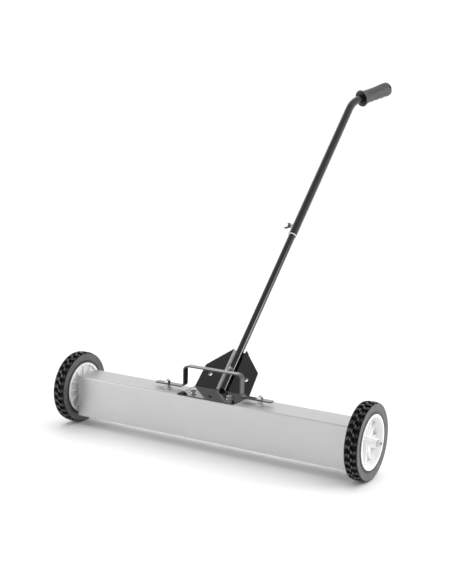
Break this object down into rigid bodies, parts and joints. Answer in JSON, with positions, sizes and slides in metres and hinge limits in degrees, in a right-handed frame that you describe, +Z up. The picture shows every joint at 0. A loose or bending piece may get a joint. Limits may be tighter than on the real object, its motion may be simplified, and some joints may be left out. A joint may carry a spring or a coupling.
{
  "type": "magnetic sweeper with release handle",
  "caption": "Walk-behind magnetic sweeper: long box housing on two side wheels, flat-bar release handle that lifts the magnets, and a leaning telescoping pole with grip.",
  "frame": {"origin": "centre of the flat sweeping face on the underside of the housing", "axes": "+X along the axle towards the right-hand wheel seen from the handle's back, +Y back towards the user along the handle's reach, +Z up; the floor is 28 mm below the origin"},
  "size_m": [0.892, 0.9841, 0.8893],
  "materials": {
    "housing": "plain sheet, satin",
    "sweep_sheet": "thin bright sheet",
    "black_paint": "black powder coat, gloss",
    "zinc": "bright zinc plate",
    "hub_plastic": "light grey moulding",
    "tyre_rubber": "grey-black rubber",
    "steel": "mild steel inside the housing",
    "magnet": "dark sintered blocks",
    "spring_steel": "spring wire",
    "nylon": "white nylon",
    "black_plastic": "black moulding",
    "grip_rubber": "dark grey moulded rubber",
    "dark_metal": "dark coated screw"
  },
  "bodies": {
    "housing": {"housing_shell": "housing", "sweep_plate": "sweep_sheet", "end_cap_left": "housing", "end_cap_right": "housing", "axle_plate_left": "steel", "axle_plate_right": "steel", "axle_left": "zinc", "axle_right": "zinc", "axle_jam_nuts": "zinc", "axle_inner_washers": "zinc", "axle_outer_washers": "zinc", "axle_lock_nuts": "zinc", "guide_bushes": "nylon", "lift_springs": "spring_steel", "handle_bracket": "black_paint", "tie_sleeves": "black_paint", "pole_channel": "black_paint", "pole_spacers": "black_plastic", "bracket_bolts": "zinc", "bracket_washers": "zinc", "bracket_nuts": "zinc", "pole_bolt": "zinc", "pole_washer": "zinc", "pole_nut": "zinc", "lower_tube": "black_paint", "lower_tube_plug": "black_plastic"},
    "wheel_left": {"wheel_hub_left": "hub_plastic", "tyre_left": "tyre_rubber"},
    "wheel_right": {"wheel_hub_right": "hub_plastic", "tyre_right": "tyre_rubber"},
    "magnet_lift": {"magnet_carriage": "steel", "magnet_blocks": "magnet", "lift_studs": "zinc", "bail_lower_nuts": "zinc", "bail_upper_nuts": "zinc", "release_bail": "black_paint"},
    "pole_slide": {"slide_bush": "nylon"},
    "pole_upper": {"upper_tube": "black_paint", "screw_boss": "zinc", "stop_rivet": "dark_metal", "grip": "grip_rubber"},
    "clamp_screw": {"wing_screw": "dark_metal"}
  },
  "joints": [
    {"name": "left_wheel_spin", "type": "hinge", "parent": "housing", "child": "wheel_left", "pos_m": [-0.40675, 0, 0.064], "axis": [1, 0, 0], "continuous": true},
    {"name": "right_wheel_spin", "type": "hinge", "parent": "housing", "child": "wheel_right", "pos_m": [0.40675, 0, 0.064], "axis": [1, 0, 0], "continuous": true},
    {"name": "magnet_release", "type": "slide", "parent": "housing", "child": "magnet_lift", "axis": [0, 0, 1], "range_m": [0, 0.03], "stiffness_N_per_m": 800, "springref_m": -0.02, "deforming": ["lift_springs"]},
    {"name": "pole_extend", "type": "slide", "parent": "housing", "child": "pole_slide", "axis": [0, 0.7133, 0.7009], "range_m": [-0.33, 0.07]},
    {"name": "pole_turn", "type": "hinge", "parent": "pole_slide", "child": "pole_upper", "pos_m": [0, 0.39923, 0.45482], "axis": [0, -0.7133, -0.7009], "range_deg": [-130, 50]},
    {"name": "clamp_screw_turn", "type": "hinge", "parent": "pole_upper", "child": "clamp_screw", "pos_m": [-0.02, 0.42063, 0.47584], "axis": [-1, 0, 0], "range_deg": [-180, 180]}
  ]
}
